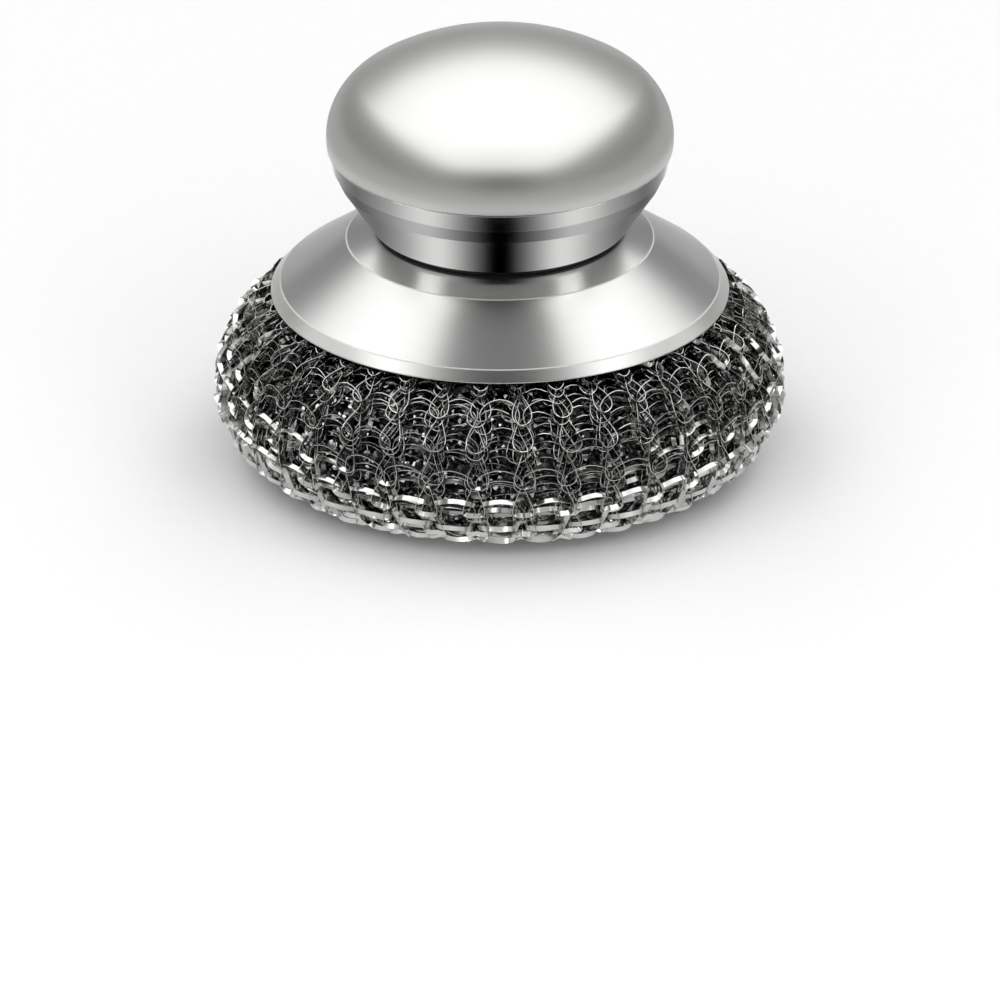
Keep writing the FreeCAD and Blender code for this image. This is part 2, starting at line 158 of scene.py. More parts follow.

# %% [markdown]
# ## Satin steel, blasted steel and painted edge highlights
# The dome is stainless steel, polished and then brushed so finely that no line shows: it blurs what
# it mirrors to a white glow that fades to grey. The band along the skirt's edge was blasted with
# fine beads and is an even pale grey; its grain is drawn coarser than life, so that it shows, and
# its colour is a little paler than the other steel, painted light that brightens it. The skirt's
# two creases get a still paler colour and a duller gloss, a painted highlight that shows as thin
# pale lines. One recipe serves all three: a metal whose gloss drifts a little.

# %% Satin steel, blasted steel and painted edge highlights
def drifting_steel(name, colour, grain, detail, glossiest, dullest):
    """Steel whose roughness drifts between two values in spots about one grain across."""
    material, tree = new_material(name)
    gloss = drift(tree, grain, detail, glossiest, dullest)
    inputs = {"Base Color": linear(colour), "Metallic": 1.0, "Roughness": gloss}
    close_material(tree, add(tree, "ShaderNodeBsdfPrincipled", inputs))
    return material


# Name, colour, grain in millimetres, detail of the noise, lowest and highest roughness.
SATIN_STEEL = drifting_steel("satin_stainless_steel", "D4D4D2", 9, 3.0, 0.36, 0.4)
# Painted highlight: the creases' steel is paler than the satin steel. Painted light: the blasted band's
# steel is a little paler too, which brightens it.
BRIGHT_EDGE = drifting_steel("steel_edge_painted_highlight", "F2F2F0", 1.5, 3.0, 0.5, 0.7)
FROSTED_STEEL = drifting_steel("bead_blasted_steel_painted_light", "E6E6E4", 0.3, 2.0, 0.28, 0.34)
print("drifting finishes", SATIN_STEEL.name, BRIGHT_EDGE.name, FROSTED_STEEL.name)

# %% [markdown]
# ## Spun steel
# Cup and skirt were spun on a lathe, so their scratches run round the axis and light smears across
# them into fans. A shader's anisotropy does that, if it knows which way is round, and a UV map tells
# it. The cup was polished afterwards and is glossier. Thousands of modelled scratches would do it
# too, at a great cost. Real ones are far too fine to show, so the rings here are about 2 mm apart.

# %% Spun steel
RADIANS_PER_SCALE = 20
SHINE_RIPPLE = 0.004
QUARTER_TURN = 0.25
BRUSH_RADIAN = 0.35
BRUSH_WOBBLE = 1.5


def lathe_marks(tree, radian, wobble, low, high):
    """Rings round the axis with a little wobble: a wave that goes through one radian in each so many
    millimetres, given as a roughness between low and high and as the wave itself."""
    place = add(tree, "ShaderNodeTexCoord").outputs["Object"]
    scale = 1 / (RADIANS_PER_SCALE * radian * MM)
    inputs = {"Vector": place, "Scale": scale, "Distortion": wobble, "Detail": 2.0}
    rings = add(tree, "ShaderNodeTexWave", inputs, wave_type="RINGS", rings_direction="Z")
    inputs = {"Value": rings.outputs["Fac"], "To Min": low, "To Max": high}
    return add(tree, "ShaderNodeMapRange", inputs).outputs["Result"], rings.outputs["Fac"]


def spun_steel(name, shine, smear):
    """Stainless steel spun and brushed on a lathe: fans of light that turn with the eye. A finer
    brush gives a lower roughness, here called shine, and less smear."""
    material, tree = new_material(name)
    lowest = shine - SHINE_RIPPLE
    gloss, _ = lathe_marks(tree, BRUSH_RADIAN, BRUSH_WOBBLE, lowest, shine + SHINE_RIPPLE)
    round_axis = add(tree, "ShaderNodeTangent", direction_type="UV_MAP", uv_map="UVMap")
    inputs = {
        "Base Color": linear("D6D6D5"),
        "Metallic": 1.0,
        "Roughness": gloss,
        "Anisotropic": smear,
        "Anisotropic Rotation": QUARTER_TURN,
        "Tangent": round_axis.outputs[0],
    }
    close_material(tree, add(tree, "ShaderNodeBsdfPrincipled", inputs))
    return material


SPUN_STEEL = spun_steel("spun_stainless_steel", 0.28, 0.5)
POLISHED_STEEL = spun_steel("polished_stainless_steel", 0.12, 0.4)
print("lathe finishes", SPUN_STEEL.name, POLISHED_STEEL.name)

# %% [markdown]
# ## Machined steel
# The hidden fasteners are turned from bar and plated: greyer and duller than the sheet, with the
# marks of the tool. The same rings serve again, here with a shallow relief, because a tool leaves
# a groove where a brush leaves a scratch.

# %% Machined steel
TOOL_RADIAN = 0.3
TOOL_WOBBLE = 2.0
MARK_DEPTH = 0.05


def machined_steel():
    """Zinc-bright turned steel: dull grey with fine tool marks that stand out a little."""
    material, tree = new_material("machined_steel")
    gloss, marks = lathe_marks(tree, TOOL_RADIAN, TOOL_WOBBLE, 0.28, 0.4)
    inputs = {"Height": marks, "Strength": 0.12, "Distance": MARK_DEPTH * MM}
    relief = add(tree, "ShaderNodeBump", inputs)
    inputs = {
        "Base Color": linear("B4B3AF"),
        "Metallic": 1.0,
        "Roughness": gloss,
        "Normal": relief.outputs[0],
    }
    close_material(tree, add(tree, "ShaderNodeBsdfPrincipled", inputs))
    return material


MACHINED_STEEL = machined_steel()
print("fastener finish", MACHINED_STEEL.name)

# %% [markdown]
# ## Rubber
# The gasket is moulded nitrile rubber: near black, matt, with a faint grain. It isn't a metal, so it
# keeps the usual gloss of plastics and rubber, and a high roughness takes the shine off. The real
# grain is finer than a pixel, so it is drawn coarser here.

# %% Rubber
RUBBER_GRAIN = 0.4
GRAIN_DEPTH = 0.05


def black_rubber():
    """Moulded nitrile rubber: two near blacks and a shallow relief, both from one fine grain."""
    material, tree = new_material("moulded_nitrile_rubber")
    tone, grain = flecks(tree, RUBBER_GRAIN, 4.0, "0B0B0B", "161616")
    inputs = {"Height": grain, "Strength": 0.3, "Distance": GRAIN_DEPTH * MM}
    relief = add(tree, "ShaderNodeBump", inputs)
    inputs = {"Base Color": tone, "Roughness": 0.7, "Normal": relief.outputs[0]}
    close_material(tree, add(tree, "ShaderNodeBsdfPrincipled", inputs))
    return material


BLACK_RUBBER = black_rubber()
print("rubber", BLACK_RUBBER.name)

# %% [markdown]
# ## Sections
# Knob, skirt, gasket and core are all turned about the stud, so each is drawn first as a section
# line in radius and height. Real sheet metal has no sharp corner. Each corner of a section becomes
# a small arc, which also catches a line of light; a bevel modifier would do the same, but not as
# evenly on thin sheet.

# %% Sections
LARGEST_SHARE = 0.45


def unit(vectors):
    """Each vector divided by its length."""
    return vectors / np.linalg.norm(vectors, axis=-1, keepdims=True)


def arc(centre, radius, start, end, count):
    """Points on an arc: the centre plus the radius times the cosine and sine of evenly spaced
    angles, in degrees."""
    angle = np.radians(np.linspace(start, end, count))
    return np.array(centre) + radius * np.stack([np.cos(angle), np.sin(angle)], axis=-1)


def rounded(corners, radii, steps=5):
    """A closed line with each corner replaced by an arc that touches both sides. The arc's centre
    lies on the line that halves the corner, and the arc takes up less than half of either side.
    Its points turn evenly from the first spoke to the last."""
    corners = np.asarray(corners, float)
    to_before = np.roll(corners, 1, axis=0) - corners
    to_after = np.roll(corners, -1, axis=0) - corners
    shorter = np.minimum(np.linalg.norm(to_before, axis=1), np.linalg.norm(to_after, axis=1))
    back = unit(to_before)
    ahead = unit(to_after)
    half = np.arccos(np.clip(np.sum(back * ahead, axis=1), -1, 1)) / 2
    reach = np.minimum(radii / np.tan(half), LARGEST_SHARE * shorter)[:, None]
    centre = corners + unit(back + ahead) * reach / np.cos(half)[:, None]
    first = (corners + back * reach - centre)[:, None]
    last = (corners + ahead * reach - centre)[:, None]
    sweep = (np.pi - 2 * half)[:, None, None]
    share = np.linspace(0, 1, steps)[:, None]
    spoke = (np.sin((1 - share) * sweep) * first + np.sin(share * sweep) * last) / np.sin(sweep)
    return (centre[:, None] + spoke).reshape(-1, 2)


print("a rounded square has", len(rounded([(0, 0), (1, 0), (1, 1), (0, 1)], 0.1)), "points")

# %% [markdown]
# ## Grids
# Nearly every surface here is a grid of points with quads between neighbours. Blender's own tools
# could build most of them, but a grid from numpy is quick, and its rows and columns stay known, so
# that a finish can be given to a row or follow a column.

# %% Grids
def grid_faces(rows, columns, close_rows):
    """Quads between the neighbours of a grid numbered row by row, closed along its columns and, if
    asked, along its rows."""
    first_rows = np.arange(rows if close_rows else rows - 1)
    row, column = np.meshgrid(first_rows, np.arange(columns), indexing="ij")
    next_row = (row + 1) % rows
    next_column = (column + 1) % columns
    corners = [
        row * columns + column,
        row * columns + next_column,
        next_row * columns + next_column,
        next_row * columns + column,
    ]
    return np.stack(corners, axis=-1).reshape(-1, 4)


def new_piece(name, points, faces, material):
    """A smooth mesh object at the origin."""
    mesh = bpy.data.meshes.new(name)
    mesh.from_pydata(points.reshape(-1, 3).tolist(), [], faces.tolist())
    mesh.polygons.foreach_set("use_smooth", np.ones(len(mesh.polygons), bool))
    mesh.materials.append(material)
    piece = bpy.data.objects.new(name, mesh)
    bpy.context.scene.collection.objects.link(piece)
    return piece


print("a closed grid of 3 by 4 has", len(grid_faces(3, 4, True)), "quads")

# %% [markdown]
# ## Turned surfaces
# A turned surface is its section line carried round the axis. Blender's spin tool gives the same,
# but here the rows and columns also become the UV map that tells the steel which way is round. At
# a pole all points of a row fall together and are merged.

# %% Turned surfaces
TURN_STEPS = 192
SAME_PLACE = 1e-7


def wrap_map(piece, rows, columns, faces):
    """A UV map for a grid: U runs round the columns and V along the rows. The last column's quads
    end at 1 and not at 0, so that the map has a clean seam."""
    corner = faces.reshape(-1)
    across = (corner % columns) / columns
    step_over = (np.tile([0, 1, 1, 0], len(faces)) == 1) & (corner % columns == 0)
    across = np.where(step_over, 1.0, across)
    along = (corner // columns) / rows
    layer = piece.data.uv_layers.new(name="UVMap")
    layer.data.foreach_set("uv", np.stack([across, along], axis=-1).astype(np.float32).ravel())


def settle_normals(piece):
    """Merges the points at a pole, turns all faces outwards, and weighs the shading by the size
    of the faces, so that flats stay flat beside their rounded edges."""
    shell = bmesh.new()
    shell.from_mesh(piece.data)
    bmesh.ops.remove_doubles(shell, verts=shell.verts, dist=SAME_PLACE)
    bmesh.ops.recalc_face_normals(shell, faces=shell.faces)
    shell.to_mesh(piece.data)
    shell.free()
    weigh = piece.modifiers.new("weighted", "WEIGHTED_NORMAL")
    weigh.mode = "FACE_AREA"


def turned(name, section, material, closed=True, steps=TURN_STEPS):
    """The surface of a section line (radius, height) turned about the axis: each point goes to
    radius times cosine and sine of the turn, at its own height. Sizes are in millimetres."""
    turn = np.linspace(0, 2 * np.pi, steps, endpoint=False)
    radius = section[:, :1]
    height = np.broadcast_to(section[:, 1:], (len(section), steps))
    points = np.stack([radius * np.cos(turn), radius * np.sin(turn), height], axis=-1) * MM
    faces = grid_faces(len(section), steps, closed)
    piece = new_piece(name, points, faces, material)
    wrap_map(piece, len(section), steps, faces)
    settle_normals(piece)
    return piece


print("pieces turn in", TURN_STEPS, "steps")

# %% [markdown]
# ## Standing in for a solid
# Each finer piece takes the place of a plain solid: it moves with the same body and hides the solid.
# Overall heights and radii are read from the solid's box, so that the two agree.

# %% Standing in for a solid
def stand_for(piece, node, body):
    """The piece moves with its body and hides the plain solid."""
    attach(piece, body)
    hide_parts(node)
    print(piece.name, "for", node, "faces", len(piece.data.polygons))


def heights(node):
    """Lowest and highest point and the outer radius of a solid, in millimetres."""
    low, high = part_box(node)
    return low.z / MM, high.z / MM, high.x / MM


print("dome from", [round(size, 2) for size in heights("knob_dome")], "mm: foot, top, radius")

# %% [markdown]
# ## The knob's dome
# The dome is pressed from sheet: a wide crown that turns over a tight knuckle into a short lip. Two
# arcs that touch give that line, and the inside is the same line one sheet further in. A squashed
# ball would be quicker, but its knuckle would be too soft and its top too round.

# %% The knob's dome
KNUCKLE = 11.0
LIP_DROP = 1.7
LIP_ROUND = 0.25
LIP_STEPS = 6
SHEET = 0.8
ARC_STEPS = 28

lip, dome_top, dome_radius = heights("knob_dome")
waist = lip + LIP_DROP
rise = dome_top - waist
turn_centre = dome_radius - KNUCKLE
sink = (turn_centre**2 - (rise - KNUCKLE) ** 2) / (2 * (rise - KNUCKLE))
crown_radius = rise + sink
crown_end = math.degrees(math.atan2(sink, turn_centre))


def dome_line(inset):
    """The dome's section from its top to its lip, moved inwards by an inset: the crown's arc, and
    the knuckle's arc down past its widest line to just above the lip's foot."""
    crown = arc((0, waist - sink), crown_radius - inset, 90, crown_end, ARC_STEPS)
    lip_end = -math.degrees(math.asin((LIP_DROP - LIP_ROUND) / (KNUCKLE - inset)))
    knuckle = arc((turn_centre, waist), KNUCKLE - inset, crown_end, lip_end, ARC_STEPS)[1:]
    return np.concatenate([crown, knuckle])


outer = dome_line(0)
inner = dome_line(SHEET)[::-1]
lip_radius = outer[-1, 0]
lip_bore = inner[0, 0]
outside_round = (lip_radius - LIP_ROUND, lip + LIP_ROUND)
inside_round = (lip_bore + LIP_ROUND, lip + LIP_ROUND)
lip_outside = arc(outside_round, LIP_ROUND, 0, -90, LIP_STEPS)[1:]
lip_inside = arc(inside_round, LIP_ROUND, -90, -180, LIP_STEPS)[:-1]
dome_section = np.concatenate([outer, lip_outside, lip_inside, inner])
dome = turned("knob_dome_satin", dome_section, SATIN_STEEL, closed=False)
stand_for(dome, "knob_dome", "handle")

# %% [markdown]
# ## The cup under the dome
# Below the lip the cup shows two shallow bands, each a little further in than the last, and then an
# inverted cone down to its floor. It is one sheet, so the inner line follows the outer one. The
# steps between the bands are tiny, and only their rounded edges make them visible.

# %% The cup under the dome
CUP_EDGE_GAP = 0.1
LIP_LEDGE = 0.7
BAND_HEIGHT = 2.9
BAND_FOOT = 26.0
STEP_HEIGHT = 2.5
CONE_TOP = 24.8
NECK_RADIUS = 20.1
STUD_HOLE = 3.2
LEDGE = 0.05
SEAM = 0.04
CUP_ROUND = 0.1

cup_floor, cup_top, _ = heights("knob_cup")
cup_edge = lip_bore - CUP_EDGE_GAP
band_foot = lip - BAND_HEIGHT
cone_top = band_foot - STEP_HEIGHT
cup_outside = [
    (cup_edge, cup_top),
    (cup_edge, lip - SEAM),
    (cup_edge + LIP_LEDGE, lip - SEAM),
    (BAND_FOOT + LEDGE, band_foot + LEDGE),
    (BAND_FOOT - LEDGE, band_foot - LEDGE),
    (CONE_TOP + LEDGE, cone_top + LEDGE),
    (CONE_TOP - LEDGE, cone_top - LEDGE),
    (NECK_RADIUS, cup_floor),
    (STUD_HOLE, cup_floor),
]
cup_inside = [
    (STUD_HOLE, cup_floor + SHEET),
    (NECK_RADIUS - SHEET, cup_floor + SHEET),
    (CONE_TOP - SHEET, cone_top),
    (BAND_FOOT - SHEET, band_foot),
    (cup_edge - SHEET, lip),
    (cup_edge - SHEET, cup_top),
]
cup = turned("knob_cup_polished", rounded(cup_outside + cup_inside, CUP_ROUND), POLISHED_STEEL)
stand_for(cup, "knob_cup", "handle")

# %% [markdown]
# ## Gasket
# A thin black washer keeps the knob off the skirt and shows as a dark line. A rectangle with rounded
# corners, turned about the axis, is all it needs.

# %% Gasket
GASKET_ROUND = 0.3
gasket_foot, gasket_top, gasket_radius = heights("neck_gasket")
gasket_section = [
    (STUD_HOLE, gasket_foot),
    (gasket_radius, gasket_foot),
    (gasket_radius, gasket_top),
    (STUD_HOLE, gasket_top),
]
gasket = turned("neck_gasket_rubber", rounded(gasket_section, GASKET_ROUND), BLACK_RUBBER)
stand_for(gasket, "neck_gasket", "handle")

# %% [markdown]
# ## Skirt
# The skirt is pressed sheet: a flat top, a shallow shoulder, a crease, a flare and a bevelled band
# along its edge. Its inside is the outside moved in by one sheet, cut off level with the rim. The
# rows of faces along the edges get finishes of their own, which is simpler than separate pieces.

# %% Skirt
PLATFORM = 19.6
CREASE = 23.9
FLARE = 34.2
SHOULDER_DROP = 1.7
RIM_BAND = 1.8
EDGE_STEPS = 5
SHEET_ROUND = 0.2
PRESS_ROUND = 1.2

rim_height, skirt_top, rim_radius = heights("skirt")


def inside_of(line, wall):
    """The same line moved to its right by a wall: each side is shifted along its normal, and
    neighbouring sides meet again where their shifted lines cross."""
    line = np.asarray(line, float)
    run = unit(np.diff(line, axis=0))
    normal = np.stack([run[:, 1], -run[:, 0]], axis=-1)
    first = np.concatenate([normal[:1], normal])
    last = np.concatenate([normal, normal[-1:]])
    meet = (first + last) / (1 + np.sum(first * last, axis=1, keepdims=True))
    return line + wall * meet


def finish_rows(piece, finishes):
    """Each finish goes on the faces between two points of the section."""
    row = np.arange(len(piece.data.polygons)) // TURN_STEPS
    index = np.zeros(len(row), np.int32)
    for first, last, material in finishes:
        piece.data.materials.append(material)
        index[(row >= first) & (row < last)] = len(piece.data.materials) - 1
    piece.data.polygons.foreach_set("material_index", index)


skirt_outside = [
    (STUD_HOLE, skirt_top),
    (PLATFORM, skirt_top),
    (CREASE, skirt_top - SHOULDER_DROP),
    (FLARE, rim_height + RIM_BAND),
    (rim_radius, rim_height),
]
skirt_inside = inside_of(skirt_outside, SHEET)[::-1]
band_run = skirt_inside[1] - skirt_inside[0]
skirt_inside[0] = skirt_inside[0] + (rim_height - skirt_inside[0][1]) / band_run[1] * band_run
edge_radii = np.array([SHEET_ROUND] + [PRESS_ROUND] * 3 + [SHEET_ROUND] * 6)
skirt_section = rounded(skirt_outside + skirt_inside.tolist(), edge_radii, EDGE_STEPS)
skirt = turned("skirt_spun", skirt_section, SPUN_STEEL)

crease_edge = 2 * EDGE_STEPS
flare_edge = 3 * EDGE_STEPS
rim_edge = 4 * EDGE_STEPS
# The creases get the paler steel, a painted highlight, and the band along the edge the blasted steel,
# whose paler colour is painted light.
finish_rows(
    skirt,
    [
        (crease_edge, crease_edge + EDGE_STEPS - 1, BRIGHT_EDGE),
        (flare_edge, flare_edge + EDGE_STEPS - 1, BRIGHT_EDGE),
        (flare_edge + EDGE_STEPS - 1, rim_edge, FROSTED_STEEL),
    ],
)
stand_for(skirt, "skirt", "handle")

# %% [markdown]
# ## The pad's outside
# The pad is a tube knitted from flat steel ribbon and rolled up into a bun. A picture of a knit on a
# plain bun would look dead, so the ribbon itself is modelled. This cell draws only the line that the
# knit follows, from the recess at the top over the waist to the hollow in the sole, on the same arcs
# as the solid.

# %% The pad's outside
SOLE_RADIUS = 28.0
WAIST_HEIGHT = 12.4
SOLE_TURN = 11.9
PAD_GAP = 0.3
HOLLOW_MOUTH = 14.6
HOLLOW_ROOF = 12.6
HOLLOW_DEPTH = 10.0
RECESS = 7.3
FLANK_POINTS = 30
CORNER_POINTS = 24
FOOT_POINTS = 10

pad_top = heights("scouring_pad")[1]
pad_radius = cad_high.x / MM
eyelet_top = heights("pad_eyelet")[1]


def pad_line():
    """The pad's outside as one line of points (radius, height), from the recess at the top, out
    under the skirt, down over the waist on arcs that touch, along the sole and up into the
    hollow."""
    run = pad_radius - rim_radius
    climb = rim_height - PAD_GAP - WAIST_HEIGHT
    flank_radius = (run**2 + climb**2) / (2 * run)
    flank_centre = pad_radius - flank_radius
    flank_end = math.degrees(math.atan2(climb, rim_radius - flank_centre))
    flank = arc((flank_centre, WAIST_HEIGHT), flank_radius, flank_end, 0, FLANK_POINTS)
    turn = pad_radius - SOLE_TURN
    inset = turn - SOLE_RADIUS
    wide = (inset**2 + WAIST_HEIGHT**2 - SOLE_TURN**2) / (2 * (WAIST_HEIGHT - SOLE_TURN))
    joint = math.degrees(math.atan2(WAIST_HEIGHT - wide, inset))
    corner = arc((turn, WAIST_HEIGHT), SOLE_TURN, 0, joint, CORNER_POINTS)[1:]
    foot = arc((SOLE_RADIUS, wide), wide, joint, -90, FOOT_POINTS)[1:]
    under = inside_of(skirt_outside, SHEET + PAD_GAP)
    crown = [(RECESS, eyelet_top), (RECESS, pad_top), under[1], under[2], under[3]]
    hollow = [(HOLLOW_MOUTH, 0.0), (HOLLOW_ROOF, HOLLOW_DEPTH), (RECESS, HOLLOW_DEPTH)]
    return np.concatenate([crown, flank, corner, foot, hollow])


print("pad", round(2 * pad_radius, 1), "mm across,", round(pad_top, 1), "mm high")

# %% [markdown]
# ## Even steps along the pad
# Ribbon doesn't follow sharp corners, so the line is cut into even steps and smoothed. Its normals
# are smoothed once more, because the ribbon's width follows them and would flicker otherwise. A
# curve object could be smoothed by hand, but even steps also measure the way along the line.

# %% Even steps along the pad
LINE_POINTS = 1601
LINE_WINDOW = 41
NORMAL_WINDOW = 61


def evenly(line, count):
    """The same line at evenly spaced points, with its running length."""
    length = np.concatenate([[0], np.cumsum(np.linalg.norm(np.diff(line, axis=0), axis=1))])
    along = np.linspace(0, length[-1], count)
    points = np.stack([np.interp(along, length, line[:, k]) for k in (0, 1)], axis=-1)
    return along, points


def smoothed(values, window):
    """Each value replaced by the mean of its neighbours within a window."""
    kernel = np.ones(window) / window
    padded = np.pad(values, ((window // 2, window // 2), (0, 0)), mode="edge")
    return np.stack([np.convolve(padded[:, k], kernel, mode="valid") for k in (0, 1)], axis=-1)


along_line, line_points = evenly(pad_line(), LINE_POINTS)
line_points = smoothed(line_points, LINE_WINDOW)
line_run = unit(smoothed(unit(np.gradient(line_points, axis=0)), NORMAL_WINDOW))
line_normal = np.stack([-line_run[:, 1], line_run[:, 0]], axis=-1)
full_length = along_line[-1]
print("pad outside line", round(full_length, 1), "mm")

# %% [markdown]
# ## One stitch
# In plain knit the ribbon makes a wide arch, narrows to a pinch, swells into a hanging loop and
# closes in a round bottom, which the next course's pinch passes through. A spline through points set
# by hand would do, but a few sines and cosines of one turn draw the same path and close by
# themselves from stitch to stitch.

# %% One stitch
WALES = 38
KNIT_RADIUS = 45
WALE = 2 * np.pi * KNIT_RADIUS / WALES
COURSE = 5.6
STITCH_POINTS = 28
FINE_TURNS = 721
SIDE_SWINGS = (-0.130, 0.128, 0.087)
ROW_SWINGS = (-0.766, -0.148, -0.009)
ROW_MIDDLE = -0.148


def stitch_path(turn):
    """Across, along and lift of one stitch over a turn. Across is the turn's share of a column plus
    three sines, along is a sum of three cosines, in courses, and lift is minus the squared sine:
    arch and bottom lie outside, and the two legs between them one lift deeper."""
    swings = (size * np.sin(k * turn) for k, size in enumerate(SIDE_SWINGS, 1))
    drops = (size * np.cos(k * turn) for k, size in enumerate(ROW_SWINGS, 1))
    across = sum(swings, turn / (2 * np.pi))
    along = sum(drops, ROW_MIDDLE)
    return across, along, -np.sin(turn) ** 2


def stitch_turns():
    """The turns at which a stitch has its points: evenly spaced in the sum of the path's length and
    the angle through which it bends, so that tight bends get more points."""
    fine = np.linspace(0, 2 * np.pi, FINE_TURNS)
    across, along, _ = stitch_path(fine)
    step = np.diff(np.stack([across * WALE, along * COURSE], axis=-1), axis=0)
    length = np.linalg.norm(step, axis=1)
    heading = np.unwrap(np.arctan2(step[:, 1], step[:, 0]))
    bend = np.abs(np.gradient(heading))
    share = np.concatenate([[0], np.cumsum(length / length.sum() + bend / bend.sum())])
    return np.interp(np.linspace(0, share[-1], STITCH_POINTS, endpoint=False), share, fine)


print("columns", WALES, "each", round(WALE, 2), "mm wide, courses", COURSE, "mm apart")

# %% [markdown]
# ## A skin of stitches
# Each course is one closed ribbon that runs round the bun. Courses a step apart along the pad's line
# make a skin. No two real stitches are alike, so a few values wander from stitch to stitch. The
# ribbon stands on edge: from straight ahead it is a thin line, and where the bun curves away it
# leans over and its bright flat shows.

# %% Where the ribbon runs
ROW_SHIFT = 0.03
SIDE_WANDER = 0.04
ROW_WANDER = 0.35
DEPTH_WANDER = 0.2
STITCH_LIFT = 0.6
FURROW = 0.5


def wander(random, courses, spread):
    """A value for each point of each course that drifts smoothly from stitch to stitch: one random
    number for each stitch, joined by straight lines."""
    ends = random.normal(0, spread, (courses, WALES))
    share = np.arange(STITCH_POINTS) / STITCH_POINTS
    mixed = ends[:, :, None] * (1 - share) + np.roll(ends, -1, axis=1)[:, :, None] * share
    return mixed.reshape(courses, -1)


def course_lines(random, starts, depth, looseness):
    """For each point of each course its angle round the axis, its place along the pad's line, how
    far it lies below that line, deeper in the furrows between the columns, and its lift."""
    courses = len(starts)
    across, along, lift = stitch_path(stitch_turns())
    column = np.arange(WALES)[:, None]
    across = np.broadcast_to((column + across).reshape(-1), (courses, WALES * STITCH_POINTS))
    along = np.broadcast_to(np.tile(along, WALES), across.shape)
    lift = np.broadcast_to(np.tile(lift, WALES), across.shape)
    shift = random.normal(0, ROW_SHIFT * looseness, (courses, 1))
    sideways = across + shift + wander(random, courses, SIDE_WANDER * looseness)
    place = starts[:, None] - COURSE * along + wander(random, courses, ROW_WANDER * looseness)
    furrow = FURROW * np.maximum(np.cos(2 * np.pi * across), 0) ** 2
    sag = np.abs(wander(random, courses, DEPTH_WANDER * looseness))
    below = depth + furrow - STITCH_LIFT * lift + sag
    return 2 * np.pi * sideways / WALES, np.clip(place, 0, full_length), below, lift


print("a course has", WALES * STITCH_POINTS, "points")

# %% [markdown]
# ## The ribbon
# The ribbon is rolled flat: about eight times as wide as thick. Its width follows the pad's normal,
# leans downwards from a little above the waist, and twists. A curve with a flat bevel would need
# a tilt for every point, so the four corners of its section are worked out directly.

# %% The ribbon
RIBBON_WIDTH = 0.75
RIBBON_THICKNESS = 0.09
RIBBON_DROOP = math.radians(50)
DROOP_STARTS = 0.65
SOLE_FADE = 2.5
KINK = 0.35
SIDES = np.array([(1, 1), (-1, 1), (-1, -1), (1, -1)]) / 2


def lay_on_pad(angle, place, below):
    """The ribbon's middle line and the way its width points. The middle lies below the pad's line
    along its normal. The width is that normal tipped downwards by the droop, which starts a little
    above the waist and fades out on the sole."""
    radius, height = (np.interp(place, along_line, line_points[:, k]) for k in (0, 1))
    out, up = (np.interp(place, along_line, line_normal[:, k]) for k in (0, 1))
    radius = radius - below * out
    height = np.maximum(height - below * up, RIBBON_WIDTH / 2)
    middle = np.stack([radius * np.cos(angle), radius * np.sin(angle), height], axis=-1)
    droop = RIBBON_DROOP * np.clip(DROOP_STARTS - up, 0, 1) * np.clip(SOLE_FADE * (1 + up), 0, 1)
    hanging = out * np.cos(droop) + np.sign(out) * up * np.sin(droop)
    fallen = up * np.cos(droop) - np.abs(out) * np.sin(droop)
    return middle, np.stack([hanging * np.cos(angle), hanging * np.sin(angle), fallen], axis=-1)


def ribbon_corners(random, middle, normal, twist):
    """The four corners of the ribbon's section at each point: the width is the normal with its part
    along the path taken off, the thickness lies across both, and the pair is turned by a wandering
    angle with small kinks."""
    path = unit(np.roll(middle, -1, axis=1) - np.roll(middle, 1, axis=1))
    wide = unit(normal - np.sum(normal * path, axis=-1, keepdims=True) * path)
    thick = np.cross(path, wide)
    tip = wander(random, len(middle), twist) + random.normal(0, KINK * twist, middle.shape[:2])
    tip = ((tip + np.roll(tip, 1, axis=1)) / 2)[..., None]
    tipped_wide = wide * np.cos(tip) + thick * np.sin(tip)
    tipped_thick = thick * np.cos(tip) - wide * np.sin(tip)
    return (
        middle[:, :, None]
        + RIBBON_WIDTH * SIDES[:, 0][:, None] * tipped_wide[:, :, None]
        + RIBBON_THICKNESS * SIDES[:, 1][:, None] * tipped_thick[:, :, None]
    )


print("ribbon", RIBBON_WIDTH, "by", RIBBON_THICKNESS, "mm")

# %% [markdown]
# ## Ribbon steel
# The ribbon is stainless steel, rolled to a bright flat that flashes. On the legs of a stitch, which
# lie deeper in the knit, its colour is darkened towards black as painted shade. A mesh attribute
# carries that share of painted shade along each stitch, so the material needs no second texture.

# %% Ribbon steel
RIBBON_SHINE = 0.14
SHINE_DRIFT = 0.04
STAIN_SIZE = 4


def ribbon_steel(name, colour):
    """Rolled stainless ribbon: bright flats that flash, with painted shade: a darker colour the deeper
    the skin lies, and darker still on the legs of a stitch, which lie deeper."""
    material, tree = new_material(name)
    gloss = drift(tree, STAIN_SIZE, 3.0, RIBBON_SHINE - SHINE_DRIFT, RIBBON_SHINE + SHINE_DRIFT)
    # Painted shade: the ribbon's colour is mixed towards black where this attribute falls below one, on
    # the legs of each stitch.
    painted_leg_shade = add(tree, "ShaderNodeAttribute", attribute_name="painted_leg_shade")
    inputs = {"Factor": painted_leg_shade.outputs["Fac"], "A": linear("000000"), "B": linear(colour)}
    tone = add(tree, "ShaderNodeMix", inputs, data_type="RGBA").outputs["Result"]
    inputs = {"Base Color": tone, "Metallic": 1.0, "Roughness": gloss}
    close_material(tree, add(tree, "ShaderNodeBsdfPrincipled", inputs))
    return material


print("ribbon roughness about", RIBBON_SHINE)

